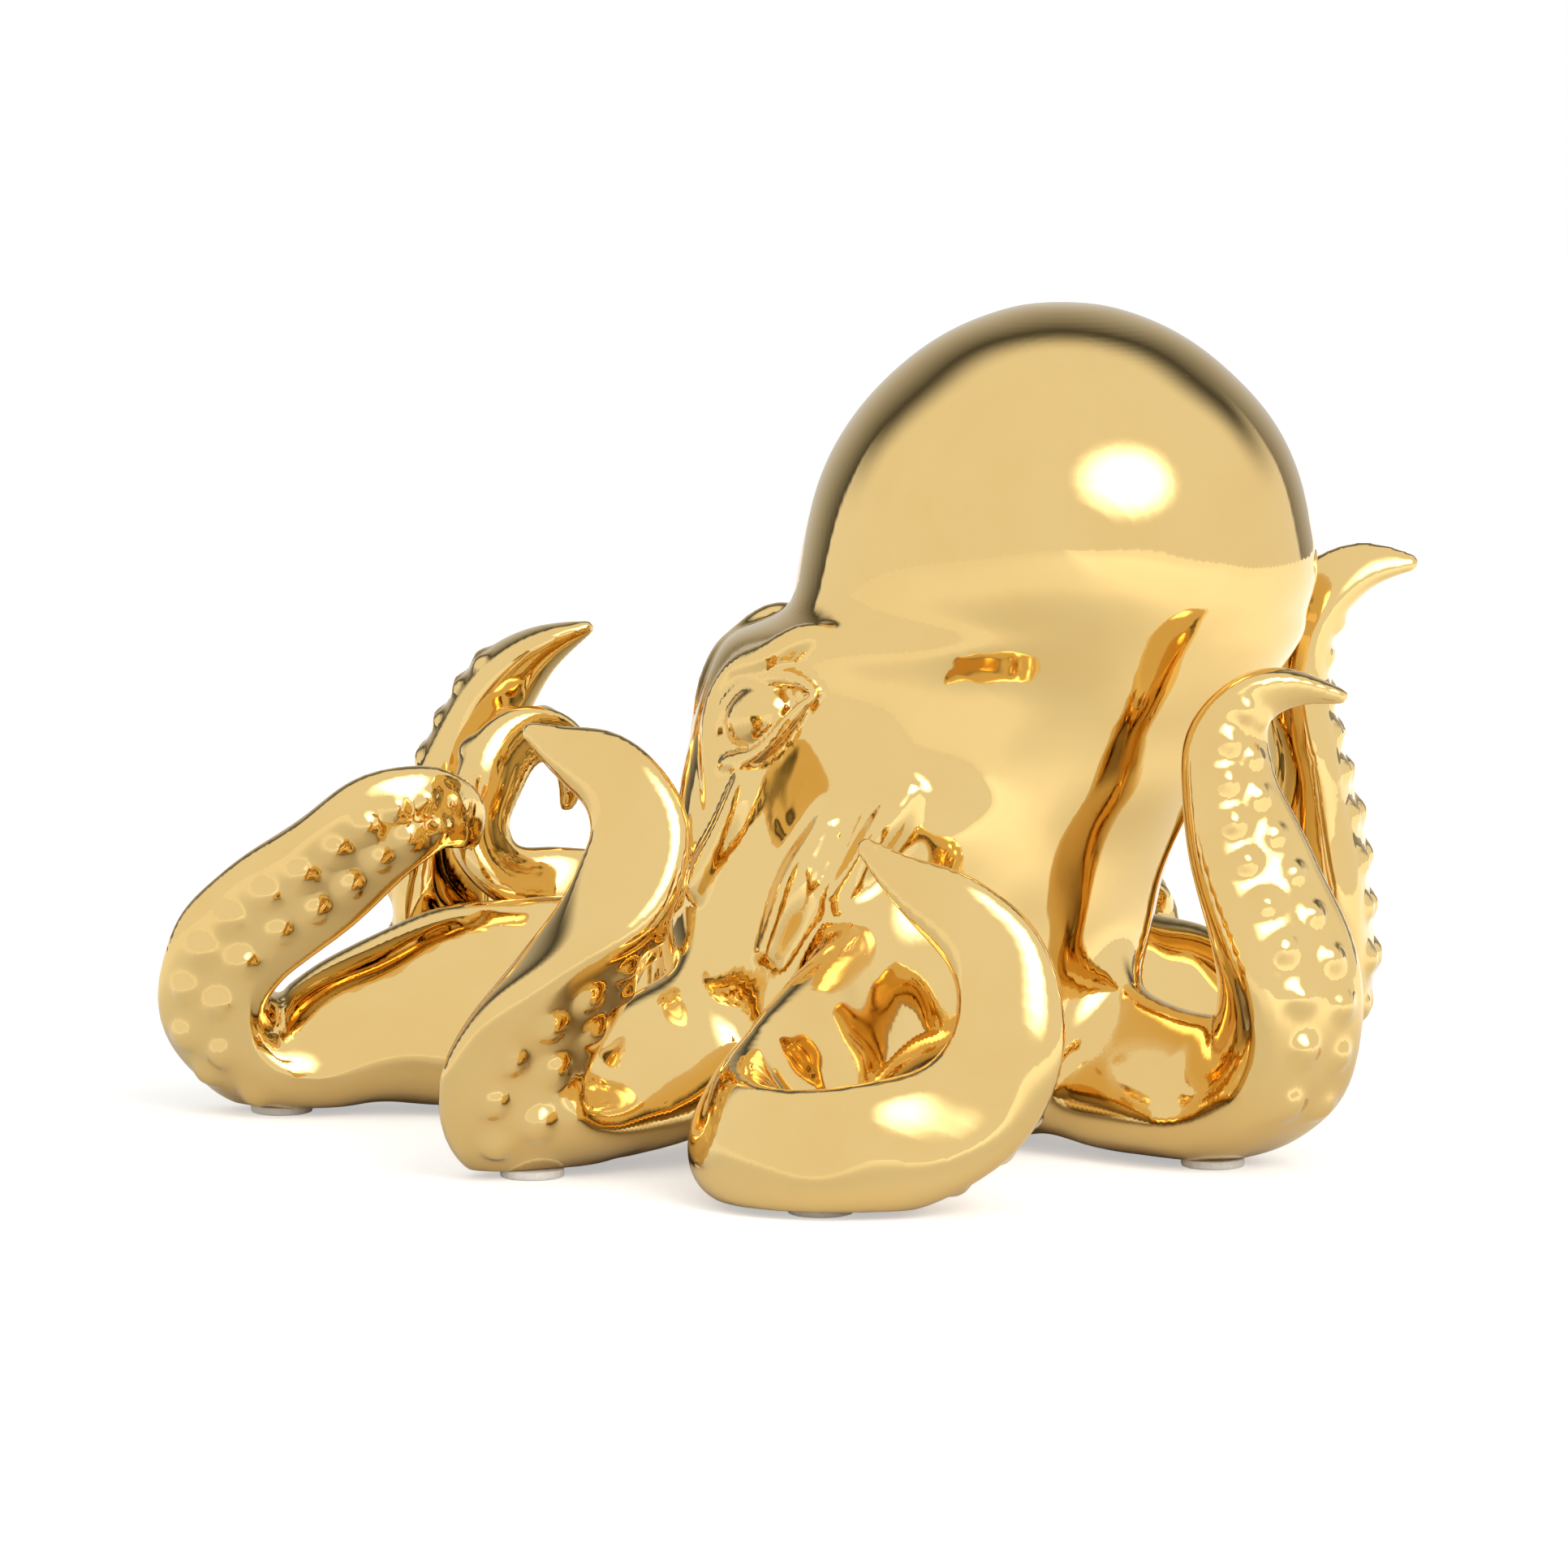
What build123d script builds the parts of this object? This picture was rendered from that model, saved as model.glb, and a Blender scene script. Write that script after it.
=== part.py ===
from build123d import *

import os
from math import cos, pi, sin

# Hollow cast octopus figure: body with head, eight curled arms and felt pads underneath.

# Size of the whole figure in millimetres, with the floor at height zero.
figure_length = 305
figure_depth = 222
figure_height = 200

# Walls left by slip casting, and the holes that let air move between the castings.
body_wall = 4
arm_wall = 4
air_hole_diameter = 12
vent_hole_diameter = 8

# An arm's section where it leaves the body.
arm_width = 36
arm_height = 48
arm_section_points = 10
steps_per_row = 3
body_section_points = 24
keel_share = 0.3
flat_belly_share = 0.1

# Suckers stand on the belly side of the arms in two rows.
sucker_diameter = 7.4
tip_sucker_diameter = 4.4
sucker_sink_share = 0.3
sucker_gap_share = 0.85
sucker_row_share = 0.09

# Self-adhesive felt pads, and the flat ground into each arm above its pad.
pad_diameter = 15
pad_thickness = 2
seat_depth = 1.2

# Head: how far it turns towards the front of the figure, the eyes and the brows.
head_turn = 8
eye_half_length = 10
eye_half_height = 7.8
eye_sink = 3.4
brow_radius = 4

free_height = figure_height - pad_thickness

# The mantle's upright axis, as shares of the length and the depth.
mantle_axis_share = (0.211, 0.113)

# Body sections from the underside to the crown: height as a share of the figure's height, how
# far the centre stands in front of the mantle's axis and half the length as shares of the
# length, half the depth as a share of the depth, and how much the front end narrows.
body_shares = [
    (0.030, 0.138, 0.121, 0.149, 0.00),
    (0.070, 0.134, 0.157, 0.189, 0.00),
    (0.170, 0.126, 0.185, 0.216, 0.00),
    (0.260, 0.120, 0.192, 0.216, 0.05),
    (0.355, 0.108, 0.197, 0.212, 0.10),
    (0.415, 0.093, 0.205, 0.212, 0.16),
    (0.470, 0.079, 0.213, 0.212, 0.20),
    (0.520, 0.064, 0.220, 0.218, 0.22),
    (0.565, 0.049, 0.225, 0.227, 0.20),
    (0.600, 0.034, 0.223, 0.239, 0.14),
    (0.630, 0.016, 0.208, 0.250, 0.07),
    (0.665, 0.003, 0.200, 0.257, 0.02),
    (0.715, 0.000, 0.195, 0.261, 0.00),
    (0.785, 0.000, 0.185, 0.254, 0.00),
    (0.860, 0.000, 0.161, 0.221, 0.00),
    (0.915, 0.000, 0.126, 0.173, 0.00),
    (0.955, 0.000, 0.089, 0.122, 0.00),
    (0.982, 0.000, 0.053, 0.072, 0.00),
    (0.998, 0.000, 0.016, 0.023, 0.00),
]

# Brow ridge from the rear of the eye, over it and down in front of it: how far in front of
# the mantle's axis as a share of the length, how far out from the middle of the head as a
# share of the depth, height as a share of the figure's height, and share of the brow's radius.
brow_shares = [
    (0.196, 0.120, 0.611, 0.40),
    (0.223, 0.112, 0.597, 0.85),
    (0.239, 0.096, 0.583, 1.00),
    (0.260, 0.060, 0.566, 1.00),
    (0.276, 0.038, 0.522, 1.00),
    (0.281, 0.043, 0.478, 0.85),
    (0.282, 0.052, 0.430, 0.40),
]
eye_place_share = (0.250, 0.095, 0.518)
eye_facing_share = (0.70, 0.69, 0.17)

# Arm courses from inside the body to the tip: place as shares of the length and the depth,
# the underside's height above the pads as a share of the free height, shares of the arm's
# width and height, and twist about the course as a share of a full turn.
left_shares = [
    (0.016, 0.189, 0.038, 1.06, 0.96, 0.00),
    (-0.098, 0.225, 0.018, 1.06, 1.04, 0.00),
    (-0.197, 0.252, 0.008, 1.06, 1.04, 0.00),
    (-0.289, 0.261, 0.003, 1.00, 0.96, 0.00),
    (-0.354, 0.257, 0.000, 0.92, 0.76, 0.00),
    (-0.410, 0.246, 0.000, 0.83, 0.60, 0.04),
    (-0.449, 0.230, 0.068, 0.78, 0.54, 0.11),
    (-0.433, 0.212, 0.162, 0.78, 0.50, 0.16),
    (-0.385, 0.198, 0.232, 0.81, 0.48, 0.20),
    (-0.341, 0.189, 0.290, 0.75, 0.44, 0.21),
    (-0.305, 0.189, 0.326, 0.67, 0.38, 0.18),
    (-0.275, 0.203, 0.338, 0.53, 0.29, 0.17),
    (-0.259, 0.225, 0.328, 0.33, 0.19, 0.15),
    (-0.254, 0.243, 0.321, 0.13, 0.10, 0.15),
]
front_left_shares = [
    (0.066, 0.068, 0.033, 1.06, 0.92, 0.00),
    (-0.020, 0.014, 0.023, 1.06, 0.92, 0.00),
    (-0.085, -0.054, 0.018, 1.03, 0.79, 0.00),
    (-0.134, -0.120, 0.008, 0.97, 0.65, 0.01),
    (-0.174, -0.171, 0.000, 0.94, 0.56, 0.04),
    (-0.206, -0.212, 0.016, 0.92, 0.51, 0.09),
    (-0.211, -0.238, 0.084, 0.92, 0.48, 0.15),
    (-0.187, -0.243, 0.142, 0.94, 0.50, 0.20),
    (-0.154, -0.239, 0.204, 0.94, 0.50, 0.26),
    (-0.126, -0.230, 0.270, 0.86, 0.50, 0.32),
    (-0.118, -0.221, 0.354, 0.75, 0.44, 0.38),
    (-0.139, -0.212, 0.422, 0.56, 0.33, 0.42),
    (-0.174, -0.203, 0.467, 0.33, 0.23, 0.46),
    (-0.195, -0.203, 0.505, 0.14, 0.10, 0.47),
]
front_shares = [
    (0.125, 0.036, 0.083, 1.00, 0.92, 0.00),
    (0.085, -0.054, 0.104, 0.97, 0.83, 0.00),
    (0.043, -0.162, 0.088, 0.92, 0.75, 0.00),
    (-0.003, -0.270, 0.048, 0.86, 0.67, 0.00),
    (-0.033, -0.360, 0.010, 0.75, 0.62, 0.00),
    (-0.020, -0.423, 0.000, 0.67, 0.60, 0.00),
    (0.026, -0.444, 0.000, 0.69, 0.60, 0.00),
    (0.082, -0.437, 0.008, 0.75, 0.62, 0.00),
    (0.131, -0.423, 0.053, 0.75, 0.58, 0.00),
    (0.156, -0.410, 0.136, 0.69, 0.52, 0.00),
    (0.149, -0.396, 0.222, 0.64, 0.44, 0.00),
    (0.118, -0.387, 0.288, 0.53, 0.35, 0.00),
    (0.084, -0.383, 0.338, 0.33, 0.25, 0.00),
    (0.056, -0.378, 0.394, 0.13, 0.10, 0.00),
]
right_shares = [
    (0.131, 0.113, 0.033, 1.00, 0.92, 0.00),
    (0.197, 0.045, 0.023, 1.00, 0.88, 0.00),
    (0.259, -0.041, 0.005, 0.97, 0.77, 0.00),
    (0.315, -0.108, 0.000, 0.94, 0.71, -0.01),
    (0.357, -0.149, 0.028, 0.92, 0.71, -0.03),
    (0.370, -0.158, 0.104, 0.92, 0.71, -0.05),
    (0.364, -0.158, 0.179, 0.89, 0.67, -0.07),
    (0.349, -0.153, 0.263, 0.81, 0.56, -0.08),
    (0.334, -0.149, 0.338, 0.72, 0.48, -0.08),
    (0.326, -0.144, 0.404, 0.61, 0.44, -0.08),
    (0.329, -0.144, 0.470, 0.56, 0.35, -0.07),
    (0.348, -0.144, 0.520, 0.42, 0.27, -0.06),
    (0.380, -0.144, 0.543, 0.28, 0.19, -0.04),
    (0.416, -0.144, 0.545, 0.11, 0.08, -0.03),
]
rear_right_shares = [
    (0.180, 0.216, 0.028, 1.00, 0.88, 0.00),
    (0.256, 0.279, 0.008, 1.00, 0.96, 0.00),
    (0.321, 0.333, 0.008, 0.97, 0.83, 0.00),
    (0.377, 0.360, 0.000, 0.92, 0.63, 0.00),
    (0.418, 0.360, 0.053, 0.86, 0.54, 0.00),
    (0.426, 0.356, 0.139, 0.89, 0.54, 0.00),
    (0.421, 0.351, 0.237, 0.86, 0.52, 0.00),
    (0.411, 0.347, 0.338, 0.81, 0.48, 0.00),
    (0.402, 0.342, 0.437, 0.75, 0.42, 0.00),
    (0.405, 0.338, 0.523, 0.61, 0.38, 0.00),
    (0.426, 0.333, 0.588, 0.47, 0.33, 0.00),
    (0.457, 0.329, 0.629, 0.31, 0.25, 0.00),
    (0.493, 0.324, 0.653, 0.14, 0.10, 0.00),
]
rear_left_shares = [
    (0.095, 0.200, 0.043, 0.94, 0.80, 0.00),
    (0.033, 0.293, 0.043, 0.94, 0.83, 0.00),
    (-0.059, 0.351, 0.030, 0.94, 0.88, 0.00),
    (-0.148, 0.396, 0.012, 0.92, 0.81, 0.00),
    (-0.220, 0.419, 0.000, 0.86, 0.69, 0.00),
    (-0.266, 0.423, 0.071, 0.78, 0.58, 0.00),
    (-0.280, 0.423, 0.164, 0.75, 0.54, 0.00),
    (-0.274, 0.423, 0.263, 0.72, 0.52, 0.00),
    (-0.261, 0.423, 0.348, 0.69, 0.48, 0.00),
    (-0.243, 0.419, 0.424, 0.61, 0.42, 0.00),
    (-0.221, 0.410, 0.482, 0.50, 0.33, 0.00),
    (-0.197, 0.401, 0.523, 0.33, 0.23, 0.00),
    (-0.164, 0.392, 0.566, 0.11, 0.08, 0.00),
]
raised_left_shares = [
    (0.098, 0.190, 0.100, 0.78, 0.70, 0.00),
    (0.033, 0.279, 0.104, 0.72, 0.67, 0.00),
    (-0.059, 0.315, 0.154, 0.61, 0.58, 0.00),
    (-0.144, 0.333, 0.192, 0.50, 0.48, 0.00),
    (-0.197, 0.329, 0.222, 0.44, 0.38, 0.00),
    (-0.233, 0.311, 0.253, 0.42, 0.31, 0.00),
    (-0.248, 0.315, 0.301, 0.42, 0.33, 0.00),
    (-0.239, 0.329, 0.354, 0.47, 0.35, 0.00),
    (-0.221, 0.347, 0.396, 0.47, 0.33, 0.00),
    (-0.195, 0.360, 0.409, 0.39, 0.27, 0.00),
    (-0.177, 0.369, 0.379, 0.25, 0.19, 0.00),
    (-0.180, 0.369, 0.351, 0.11, 0.08, 0.00),
]
rear_shares = [
    (0.105, 0.225, 0.058, 1.00, 0.88, 0.00),
    (0.118, 0.324, 0.043, 0.94, 0.79, 0.00),
    (0.138, 0.405, 0.013, 0.86, 0.67, 0.00),
    (0.177, 0.446, 0.000, 0.75, 0.62, 0.00),
    (0.226, 0.450, 0.008, 0.72, 0.60, 0.00),
    (0.266, 0.437, 0.068, 0.69, 0.54, 0.00),
    (0.272, 0.428, 0.149, 0.64, 0.46, 0.00),
    (0.246, 0.414, 0.220, 0.50, 0.38, 0.00),
    (0.207, 0.410, 0.270, 0.33, 0.25, 0.00),
    (0.174, 0.410, 0.321, 0.11, 0.08, 0.00),
]

# Each arm with its course, the section its suckers start from, the last section of its
# cavity, and its pad's place as shares of the length and the depth, where it has a pad.
# An arm gives way to the arms listed before it where they are pressed together.
arm_list = [
    ("arm_front", front_shares, 6, 8, (0.022, -0.430)),
    ("arm_right", right_shares, 4, 8, (0.323, -0.126)),
    ("arm_front_left", front_left_shares, 5, 9, (-0.196, -0.196)),
    ("arm_left", left_shares, 5, 9, (-0.405, 0.246)),
    ("arm_rear_right", rear_right_shares, 4, 8, (0.372, 0.358)),
    ("arm_rear_left", rear_left_shares, 5, 8, (-0.214, 0.418)),
    ("arm_raised_left", raised_left_shares, 7, 0, None),
    ("arm_rear", rear_shares, 5, 6, (0.190, 0.448)),
]


def section_points(half_width, half_height, turn_share):
    """Points round an arm's section turned about its middle; the first one stays at the top."""
    points = []
    for index in range(arm_section_points):
        angle = 2 * pi * (index / arm_section_points + turn_share)
        across = half_width * sin(angle) * (1 - keel_share * cos(angle))
        up = half_height * (cos(angle) - flat_belly_share * (1 - cos(2 * angle)))
        points.append(Vector(across, up).rotate(Axis.Z, 360 * turn_share))
    return points


def eased(rows, index, part, column):
    """Value in one column of a table, drawn smoothly between two rows of it."""
    before = rows[max(index - 1, 0)][column]
    start = rows[index][column]
    end = rows[index + 1][column]
    after = rows[min(index + 2, len(rows) - 1)][column]
    bend = 2 * before - 5 * start + 4 * end - after
    return start + part / 2 * (end - before + part * (bend + part * (3 * start - before - 3 * end + after)))


def arm_sections(shares):
    """Plane, half width, half height and turn of each section along an arm's course."""
    places = []
    for x_share, y_share, lift_share, _, height_share, _ in shares:
        middle = pad_thickness - seat_depth + free_height * lift_share + arm_height * height_share / 2
        places.append(Vector(figure_length * x_share, figure_depth * y_share, middle))
    course = Spline(*places)
    stations = [course.param_at_point(place) for place in places]
    sections = []
    belly = Vector(0, 0, -1)
    for step in range((len(shares) - 1) * steps_per_row + 1):
        index = min(step // steps_per_row, len(shares) - 2)
        part = step / steps_per_row - index
        station = stations[index] + (stations[index + 1] - stations[index]) * part
        tangent = course % station
        belly = (belly - tangent * belly.dot(tangent)).normalized()
        plane = Plane(origin=course @ station, x_dir=tangent.cross(belly), z_dir=tangent)
        width, height, turn = [eased(shares, index, part, column) for column in (3, 4, 5)]
        sections.append((plane, arm_width * width / 2, arm_height * height / 2, turn))
    return sections


def limb_form(sections, wall):
    """Solid through an arm's sections, set in by a wall."""
    with BuildPart() as limb:
        for plane, half_width, half_height, turn in sections:
            with BuildSketch(plane):
                with BuildLine():
                    Spline(*section_points(half_width - wall, half_height - wall, turn), periodic=True)
                make_face()
        loft(ruled=True)
    return limb.part


def sucker_row(sections, side):
    """Suckers in one row along an arm, spaced by the size that each one has."""
    points = []
    for plane, half_width, half_height, turn in sections:
        angle = pi + side * 2 * pi * sucker_row_share
        across = half_width * sin(angle) * (1 - keel_share * cos(angle))
        up = half_height * (cos(angle) - flat_belly_share * (1 - cos(2 * angle)))
        points.append(plane.from_local_coords(Vector(across, up).rotate(Axis.Z, 360 * turn)))
    line = Spline(*points)
    suckers = []
    travelled = sucker_diameter / 2
    while travelled < line.length:
        share = travelled / line.length
        diameter = sucker_diameter + (tip_sucker_diameter - sucker_diameter) * share
        suckers.append(Location(line @ share) * Sphere(diameter / 2, mode=Mode.PRIVATE))
        travelled += diameter * (1 + sucker_gap_share)
    return suckers


def head_point(forward_share, out_share, height_share, side):
    """Point of the head given along and across the direction in which it faces."""
    forward = Vector(-1, 0, 0).rotate(Axis.Z, head_turn)
    out = Vector(0, -side, 0).rotate(Axis.Z, head_turn)
    axis = Vector(figure_length * mantle_axis_share[0], figure_depth * mantle_axis_share[1], 0)
    flat = axis + forward * (figure_length * forward_share) + out * (figure_depth * out_share)
    return flat + Vector(0, 0, figure_height * height_share)


def body_rounds(shares, wall):
    """Solid through the body's level sections, set in by a wall all round."""
    with BuildPart() as rounds:
        for height_share, forward_share, length_share, depth_share, narrow_share in shares:
            half_length = figure_length * length_share - wall
            half_depth = figure_depth * depth_share - wall
            points = []
            for index in range(body_section_points):
                angle = 2 * pi * index / body_section_points
                across = half_depth * sin(angle) * (1 + narrow_share * cos(angle))
                points.append((half_length * cos(angle), across))
            middle = head_point(forward_share, 0, height_share, 1)
            with BuildSketch(Plane(origin=middle, x_dir=Vector(1, 0, 0).rotate(Axis.Z, head_turn))):
                with BuildLine():
                    Spline(*points, periodic=True)
                make_face()
        loft()
    return rounds.part


# Brow ridges and eyes, drawn for each side of the head and sunk into it.
face_forms = []
for side in (1, -1):
    ridge = [head_point(*row[:3], side) for row in brow_shares]
    with BuildPart() as brow:
        ridge_line = Spline(*ridge, mode=Mode.PRIVATE)
        for place, row in zip(ridge, brow_shares):
            with BuildSketch(Plane(origin=place, z_dir=ridge_line.tangent_at(place))):
                Circle(brow_radius * row[3])
        loft()
    forward, out, up = eye_facing_share
    level = head_point(0, 0, 0, side)
    facing = (head_point(forward, 0, 0, side) - level) * (1 / figure_length)
    facing += (head_point(0, out, 0, side) - level) * (1 / figure_depth)
    facing = (facing + Vector(0, 0, up)).normalized()
    eye_middle = head_point(*eye_place_share, side) - facing * eye_sink
    along = Vector(0, 0, 1).cross(facing).normalized()
    with BuildPart() as eye:
        with BuildSketch(Plane(origin=eye_middle, x_dir=along, z_dir=facing.cross(along))):
            with BuildLine():
                EllipticalCenterArc((0, 0), eye_half_length, eye_half_height, arc_size=180)
                Line((-eye_half_length, 0), (eye_half_length, 0))
            make_face()
        revolve(axis=Axis(eye_middle, along))
    face_forms += [brow.part, eye.part]

# Arms, each hollow as far as its cavity reaches and ground flat above its pad.
body_outside = body_rounds(body_shares, 0)
os.makedirs("parts", exist_ok=True)
arm_forms = []
air_holes = []
for name, shares, first_sucker_row, last_hollow_row, pad_share in arm_list:
    sections = arm_sections(shares)
    limb = limb_form(sections, 0)
    suckers = []
    for side in (1, -1):
        suckers += sucker_row(sections[first_sucker_row * steps_per_row : -2 * steps_per_row], side)
    with BuildPart() as arm_form:
        add(limb)
        add(suckers)
        with Locations(sections[-1][0].origin):
            Sphere(sections[-1][2])
        split(bisect_by=Plane.XY.offset(pad_thickness), keep=Keep.TOP)
        add(body_outside, mode=Mode.SUBTRACT)
        for form in arm_forms:
            add(form, mode=Mode.SUBTRACT)
    arm_forms.append(arm_form.part)
    with BuildPart() as arm:
        add(arm_form.part.solids().sort_by(SortBy.VOLUME)[-1])
        if last_hollow_row:
            cavity = limb_form(sections[: last_hollow_row * steps_per_row + 1 : steps_per_row], arm_wall)
            add(cavity, mode=Mode.SUBTRACT)
            air_holes.append((sections[0][0], sections[steps_per_row][0]))
    arm.part.label = name
    export_step(arm.part, f"parts/{name}.step")
    if pad_share:
        middle = (figure_length * pad_share[0], figure_depth * pad_share[1], 0)
        with BuildPart(Plane(origin=middle)) as pad:
            Cylinder(pad_diameter / 2, pad_thickness, align=(Align.CENTER, Align.CENTER, Align.MIN))
        pad_name = name.replace("arm", "felt_pad")
        pad.part.label = pad_name
        export_step(pad.part, f"parts/{pad_name}.step")

# Body casting: hollow, open to the arms by air holes and underneath by a kiln vent.
body_cavity = body_rounds(body_shares[1:-2], body_wall)
vent_place = head_point(body_shares[0][1], 0, 0, 1)
with BuildPart() as body_shell:
    add(body_outside)
    for form in face_forms:
        add(form)
    add(body_cavity, mode=Mode.SUBTRACT)
    for start, end in air_holes:
        with Locations(Plane(origin=start.origin, z_dir=end.origin - start.origin)):
            length = (end.origin - start.origin).length
            Cylinder(air_hole_diameter / 2, length, align=(Align.CENTER, Align.CENTER, Align.MIN), mode=Mode.SUBTRACT)
    with Locations(vent_place):
        Cylinder(vent_hole_diameter / 2, figure_height / 4, mode=Mode.SUBTRACT)
body_shell.part.label = "body_shell"
export_step(body_shell.part, "parts/body_shell.step")
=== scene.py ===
"""Gold-plated ceramic octopus: a domed body with a head, eight curled arms and felt pads."""

import bpy
import numpy as np
import openvdb
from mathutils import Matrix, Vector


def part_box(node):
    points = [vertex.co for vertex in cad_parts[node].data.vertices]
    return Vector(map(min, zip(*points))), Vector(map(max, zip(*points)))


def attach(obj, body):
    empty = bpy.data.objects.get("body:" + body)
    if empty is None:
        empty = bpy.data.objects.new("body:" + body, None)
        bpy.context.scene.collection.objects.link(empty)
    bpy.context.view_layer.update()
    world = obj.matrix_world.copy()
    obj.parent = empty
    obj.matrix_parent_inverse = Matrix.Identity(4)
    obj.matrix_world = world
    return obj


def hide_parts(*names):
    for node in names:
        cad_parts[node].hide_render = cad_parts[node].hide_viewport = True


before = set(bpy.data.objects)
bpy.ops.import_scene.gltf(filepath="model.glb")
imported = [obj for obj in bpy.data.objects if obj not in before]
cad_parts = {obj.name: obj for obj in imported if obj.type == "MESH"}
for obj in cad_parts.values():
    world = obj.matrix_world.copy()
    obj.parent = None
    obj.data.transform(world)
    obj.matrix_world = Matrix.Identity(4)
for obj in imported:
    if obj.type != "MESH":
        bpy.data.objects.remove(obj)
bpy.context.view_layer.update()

# Sizes of the figure in millimetres, as the castings have them.
FIGURE_LENGTH = 305.0
FIGURE_DEPTH = 222.0
FIGURE_HEIGHT = 200.0
ARM_WIDTH = 36.0
ARM_HEIGHT = 48.0
PAD_THICKNESS = 2.0
PAD_DIAMETER = 15.0
SEAT_DEPTH = 1.2
KEEL_SHARE = 0.3
FLAT_BELLY_SHARE = 0.1
SUCKER_DIAMETER = 8.0
TIP_SUCKER_DIAMETER = 4.6
SUCKER_HEIGHT_SHARE = 0.25
SUCKER_GAP_SHARE = 0.7
SUCKER_ROW_SHARE = 0.05
MANTLE_AXIS = np.array((64.4, 25.1))
INNER_POINT = np.array((30.0, 20.0, 45.0))
METRES_PER_MM = 0.001
MM_PER_METRE = 1000

# The head is turned in degrees about the mantle's axis. Each eye has a place ahead of the axis,
# beside it and above the floor, a direction it faces, half sizes of ball and socket, the depth
# the ball is sunk by, and the shares of its two level directions that tilt ball and socket.
HEAD_TURN = 8.0
EYE_PLACE = (76.4, 21.2, 103.6)
EYE_FACING = (0.70, 0.69, 0.17)
EYE_TILT = (0.9, 0.44)
SOCKET_HALF_SIZES = (12.0, 9.0, 4.0)
EYE_HALF_SIZES = (9.4, 7.6, 7.0)
EYE_SINK = 2.2
EYE_WINDOW = 22

# Grid spacing, how far distances are worked out, and the widths that joints are melted over.
GRAIN = 1.03
FAR_REACH = 26
NEAR_REACH = 8
ROOT_MELT = 10
BODY_MELT = 14
ARM_MELT = 1.5
SOCKET_MELT = 1.5
EYE_MELT = 0.6
SUCKER_MELT = 1.6

# Depth of the hand modelling, steps that relax the mesh, and how the rearmost coils ease in.
HAND_DEPTH = 0.36
RELAX_STEPS = (0.5, -0.52) * 6
REAR_EASE_START = 90.0
REAR_EASE = 0.0013

# Camera and floor in metres: the focal length is given in pixels of a photograph's width.
SENSOR_WIDTH = 36.0
FOCAL_PIXELS = 10400
PHOTO_PIXELS = 1932
CAMERA_PLACE = (-0.0015, -1.974, 0.3127)
CAMERA_PITCH = 6.54
LAMP_PLACE = (0.95, -1.36, 1.12)
LAMP_SEEN_TOWARDS = (0.475, -0.68, 0.56)
FLOOR_HALF = 4

# Body sections from the underside to the crown: height share, distance of the centre in front
# of the mantle's axis and half length as shares of the length, half depth as a share of the
# depth, and how much the front end narrows.
BODY_SHARES = (
    (0.030, 0.138, 0.121, 0.149, 0.00), (0.070, 0.134, 0.157, 0.189, 0.00),
    (0.170, 0.126, 0.185, 0.216, 0.00), (0.260, 0.120, 0.192, 0.216, 0.05),
    (0.355, 0.108, 0.197, 0.212, 0.10), (0.415, 0.093, 0.205, 0.212, 0.16),
    (0.470, 0.079, 0.213, 0.212, 0.20), (0.520, 0.064, 0.220, 0.218, 0.22),
    (0.565, 0.049, 0.225, 0.227, 0.20), (0.600, 0.034, 0.223, 0.239, 0.14),
    (0.630, 0.012, 0.204, 0.250, 0.06), (0.665, 0.004, 0.203, 0.259, 0.02),
    (0.715, 0.002, 0.199, 0.263, 0.00), (0.785, 0.001, 0.187, 0.255, 0.00),
    (0.860, 0.000, 0.161, 0.221, 0.00), (0.915, 0.000, 0.127, 0.174, 0.00),
    (0.955, 0.000, 0.091, 0.125, 0.00), (0.979, 0.000, 0.055, 0.076, 0.00),
    (0.989, 0.000, 0.029, 0.040, 0.00), (0.992, 0.000, 0.006, 0.008, 0.00),
)

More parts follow.
